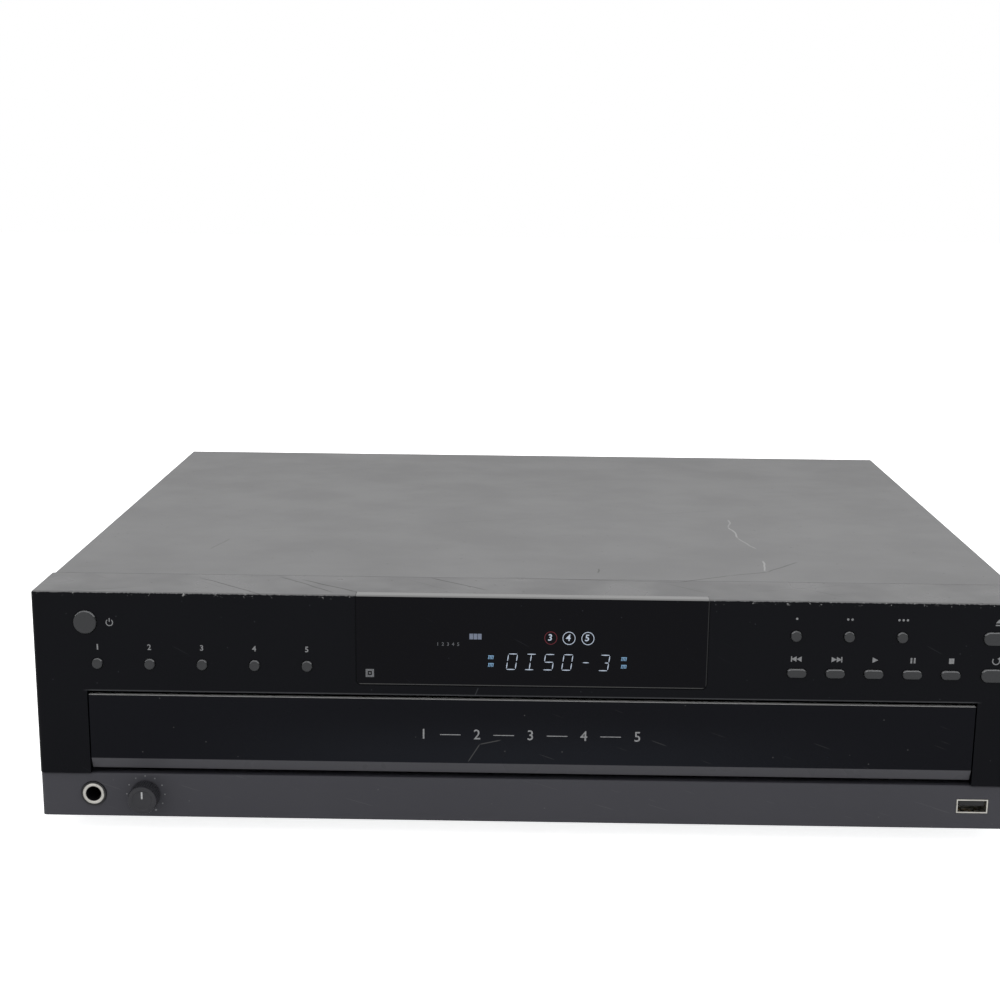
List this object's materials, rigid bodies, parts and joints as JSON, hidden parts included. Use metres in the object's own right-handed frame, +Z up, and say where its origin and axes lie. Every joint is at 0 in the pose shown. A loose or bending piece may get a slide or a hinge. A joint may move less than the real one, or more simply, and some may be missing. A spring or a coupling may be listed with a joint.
{
  "type": "multi disc cd changer",
  "caption": "Wide low disc changer with a front-sliding tray that carries a rotating disc table, a display window and rows of small front buttons.",
  "frame": {"origin": "middle of the overall box on the surface that the feet stand on", "axes": "+X to the viewer's right, -Y to the front, +Z up"},
  "size_m": [0.43, 0.4, 0.11],
  "materials": {
    "cover_steel": "satin textured paint",
    "zinc_steel": "zinc plated",
    "front_plastic": "gloss",
    "lower_plastic": "satin",
    "window_acrylic": "gloss, dark tinted",
    "display_glass": "gloss",
    "board": "satin",
    "button_plastic": "satin",
    "screw_black": "black oxide",
    "foot_plastic": "matte",
    "mechanism_plastic": "matte",
    "gear_plastic": "satin",
    "bright_steel": "ground",
    "motor_can": "plated",
    "soft_rubber": "matte",
    "platter_plastic": "matte",
    "sled_plastic": "matte",
    "transformer_iron": "varnished",
    "socket_black": "satin",
    "socket_metal": "plated"
  },
  "bodies": {
    "chassis": {"feet": "foot_plastic", "bottom_plate": "zinc_steel", "rear_panel": "zinc_steel", "top_cover": "cover_steel", "case_screws": "screw_black", "front_panel": "front_plastic", "lower_front_panel": "lower_plastic", "display_window": "window_acrylic", "display_board": "board", "display_tube": "display_glass", "phones_jack": "socket_black", "level_pot": "socket_black", "usb_socket": "socket_metal", "loading_frame": "mechanism_plastic", "chucking_bridge": "mechanism_plastic", "loading_motor": "motor_can", "loading_belt": "soft_rubber", "main_board": "board", "power_transformer": "transformer_iron", "line_jacks": "socket_metal", "optical_out": "socket_black", "cord_gland": "socket_black"},
    "tray_unit": {"tray": "mechanism_plastic", "tray_door": "front_plastic", "table_shaft": "bright_steel", "table_motor": "motor_can"},
    "disc_table": {"carousel_table": "mechanism_plastic", "table_cap": "mechanism_plastic"},
    "table_drive": {"table_gear": "gear_plastic"},
    "pinion": {"tray_pinion": "gear_plastic"},
    "pulley": {"pulley_gear": "gear_plastic"},
    "motor_rotor": {"motor_pulley": "gear_plastic"},
    "lift": {"lift_frame": "mechanism_plastic", "isolators": "soft_rubber", "base_plate": "zinc_steel", "spindle_motor": "motor_can", "guide_rods": "bright_steel", "sled_motor": "motor_can"},
    "cam": {"cam_slider": "gear_plastic"},
    "platter": {"spindle_platter": "platter_plastic"},
    "sled": {"pickup_sled": "sled_plastic"},
    "sled_drive": {"sled_gear": "gear_plastic"},
    "puck": {"clamp_puck": "mechanism_plastic"},
    "knob": {"level_knob": "button_plastic"},
    "disc_button_1_body": {"disc_button_1": "button_plastic"},
    "disc_button_2_body": {"disc_button_2": "button_plastic"},
    "disc_button_3_body": {"disc_button_3": "button_plastic"},
    "disc_button_4_body": {"disc_button_4": "button_plastic"},
    "disc_button_5_body": {"disc_button_5": "button_plastic"},
    "option_button_1_body": {"option_button_1": "button_plastic"},
    "option_button_2_body": {"option_button_2": "button_plastic"},
    "option_button_3_body": {"option_button_3": "button_plastic"},
    "skip_back_button_body": {"skip_back_button": "button_plastic"},
    "skip_forward_button_body": {"skip_forward_button": "button_plastic"},
    "play_button_body": {"play_button": "button_plastic"},
    "pause_button_body": {"pause_button": "button_plastic"},
    "stop_button_body": {"stop_button": "button_plastic"},
    "open_close_button_body": {"open_close_button": "button_plastic"},
    "disc_skip_button_body": {"disc_skip_button": "button_plastic"},
    "power_button_body": {"power_button": "button_plastic"}
  },
  "joints": [
    {"name": "tray_slide", "type": "slide", "parent": "chassis", "child": "tray_unit", "axis": [0, -1, 0], "range_m": [0, 0.205]},
    {"name": "table_spin", "type": "hinge", "parent": "tray_unit", "child": "disc_table", "pos_m": [0, -0.00675, 0.049], "axis": [0, 0, 1], "continuous": true},
    {"name": "table_gear_spin", "type": "hinge", "parent": "tray_unit", "child": "table_drive", "pos_m": [-0.13506, -0.14181, 0.0375], "axis": [0, 0, 1], "continuous": true},
    {"name": "pinion_spin", "type": "hinge", "parent": "chassis", "child": "pinion", "pos_m": [0.16, -0.16, 0.035], "axis": [0, 0, 1], "range_deg": [0, 939.7]},
    {"name": "pulley_spin", "type": "hinge", "parent": "chassis", "child": "pulley", "pos_m": [0.13922, -0.148, 0.013], "axis": [0, 0, 1], "range_deg": [-2819, 0]},
    {"name": "motor_spin", "type": "hinge", "parent": "chassis", "child": "motor_rotor", "pos_m": [0.1, -0.148, 0.013], "axis": [0, 0, 1], "range_deg": [-11275.9, 0]},
    {"name": "lift_slide", "type": "slide", "parent": "chassis", "child": "lift", "axis": [0, 0, 1], "range_m": [0, 0.015]},
    {"name": "cam_slide", "type": "slide", "parent": "chassis", "child": "cam", "axis": [1, 0, 0], "range_m": [0, 0.03]},
    {"name": "platter_spin", "type": "hinge", "parent": "lift", "child": "platter", "pos_m": [0, 0.0989, 0.038], "axis": [0, 0, 1], "continuous": true},
    {"name": "sled_slide", "type": "slide", "parent": "lift", "child": "sled", "axis": [0, 1, 0], "range_m": [0, 0.034]},
    {"name": "sled_gear_spin", "type": "hinge", "parent": "lift", "child": "sled_drive", "pos_m": [-0.0304, 0.1384, 0.0204], "axis": [0, 0, 1], "range_deg": [0, 304.4]},
    {"name": "puck_spin", "type": "hinge", "parent": "chassis", "child": "puck", "pos_m": [0, 0.0989, 0.06], "axis": [0, 0, 1], "continuous": true},
    {"name": "knob_turn", "type": "hinge", "parent": "chassis", "child": "knob", "pos_m": [-0.169, -0.192, 0.0184], "axis": [0, 1, 0], "range_deg": [-150, 150]},
    {"name": "disc_button_1_press", "type": "slide", "parent": "chassis", "child": "disc_button_1_body", "axis": [0, 1, 0], "range_m": [0, 0.0007], "stiffness_N_per_m": 300},
    {"name": "disc_button_2_press", "type": "slide", "parent": "chassis", "child": "disc_button_2_body", "axis": [0, 1, 0], "range_m": [0, 0.0007], "stiffness_N_per_m": 300},
    {"name": "disc_button_3_press", "type": "slide", "parent": "chassis", "child": "disc_button_3_body", "axis": [0, 1, 0], "range_m": [0, 0.0007], "stiffness_N_per_m": 300},
    {"name": "disc_button_4_press", "type": "slide", "parent": "chassis", "child": "disc_button_4_body", "axis": [0, 1, 0], "range_m": [0, 0.0007], "stiffness_N_per_m": 300},
    {"name": "disc_button_5_press", "type": "slide", "parent": "chassis", "child": "disc_button_5_body", "axis": [0, 1, 0], "range_m": [0, 0.0007], "stiffness_N_per_m": 300},
    {"name": "option_button_1_press", "type": "slide", "parent": "chassis", "child": "option_button_1_body", "axis": [0, 1, 0], "range_m": [0, 0.0007], "stiffness_N_per_m": 300},
    {"name": "option_button_2_press", "type": "slide", "parent": "chassis", "child": "option_button_2_body", "axis": [0, 1, 0], "range_m": [0, 0.0007], "stiffness_N_per_m": 300},
    {"name": "option_button_3_press", "type": "slide", "parent": "chassis", "child": "option_button_3_body", "axis": [0, 1, 0], "range_m": [0, 0.0007], "stiffness_N_per_m": 300},
    {"name": "skip_back_button_press", "type": "slide", "parent": "chassis", "child": "skip_back_button_body", "axis": [0, 1, 0], "range_m": [0, 0.0007], "stiffness_N_per_m": 300},
    {"name": "skip_forward_button_press", "type": "slide", "parent": "chassis", "child": "skip_forward_button_body", "axis": [0, 1, 0], "range_m": [0, 0.0007], "stiffness_N_per_m": 300},
    {"name": "play_button_press", "type": "slide", "parent": "chassis", "child": "play_button_body", "axis": [0, 1, 0], "range_m": [0, 0.0007], "stiffness_N_per_m": 300},
    {"name": "pause_button_press", "type": "slide", "parent": "chassis", "child": "pause_button_body", "axis": [0, 1, 0], "range_m": [0, 0.0007], "stiffness_N_per_m": 300},
    {"name": "stop_button_press", "type": "slide", "parent": "chassis", "child": "stop_button_body", "axis": [0, 1, 0], "range_m": [0, 0.0007], "stiffness_N_per_m": 300},
    {"name": "open_close_button_press", "type": "slide", "parent": "chassis", "child": "open_close_button_body", "axis": [0, 1, 0], "range_m": [0, 0.0007], "stiffness_N_per_m": 300},
    {"name": "disc_skip_button_press", "type": "slide", "parent": "chassis", "child": "disc_skip_button_body", "axis": [0, 1, 0], "range_m": [0, 0.0007], "stiffness_N_per_m": 300},
    {"name": "power_button_press", "type": "slide", "parent": "chassis", "child": "power_button_body", "axis": [0, 1, 0], "range_m": [0, 0.0007], "stiffness_N_per_m": 300}
  ],
  "couplings": [
    {"joint": "pinion_spin", "follows": "tray_slide", "rad_per_m": 80},
    {"joint": "pulley_spin", "follows": "tray_slide", "rad_per_m": -240},
    {"joint": "motor_spin", "follows": "tray_slide", "rad_per_m": -960},
    {"joint": "table_gear_spin", "follows": "table_spin", "ratio": -8.55},
    {"joint": "cam_slide", "follows": "lift_slide", "ratio": 2},
    {"joint": "sled_gear_spin", "follows": "sled_slide", "rad_per_m": 156.25}
  ]
}
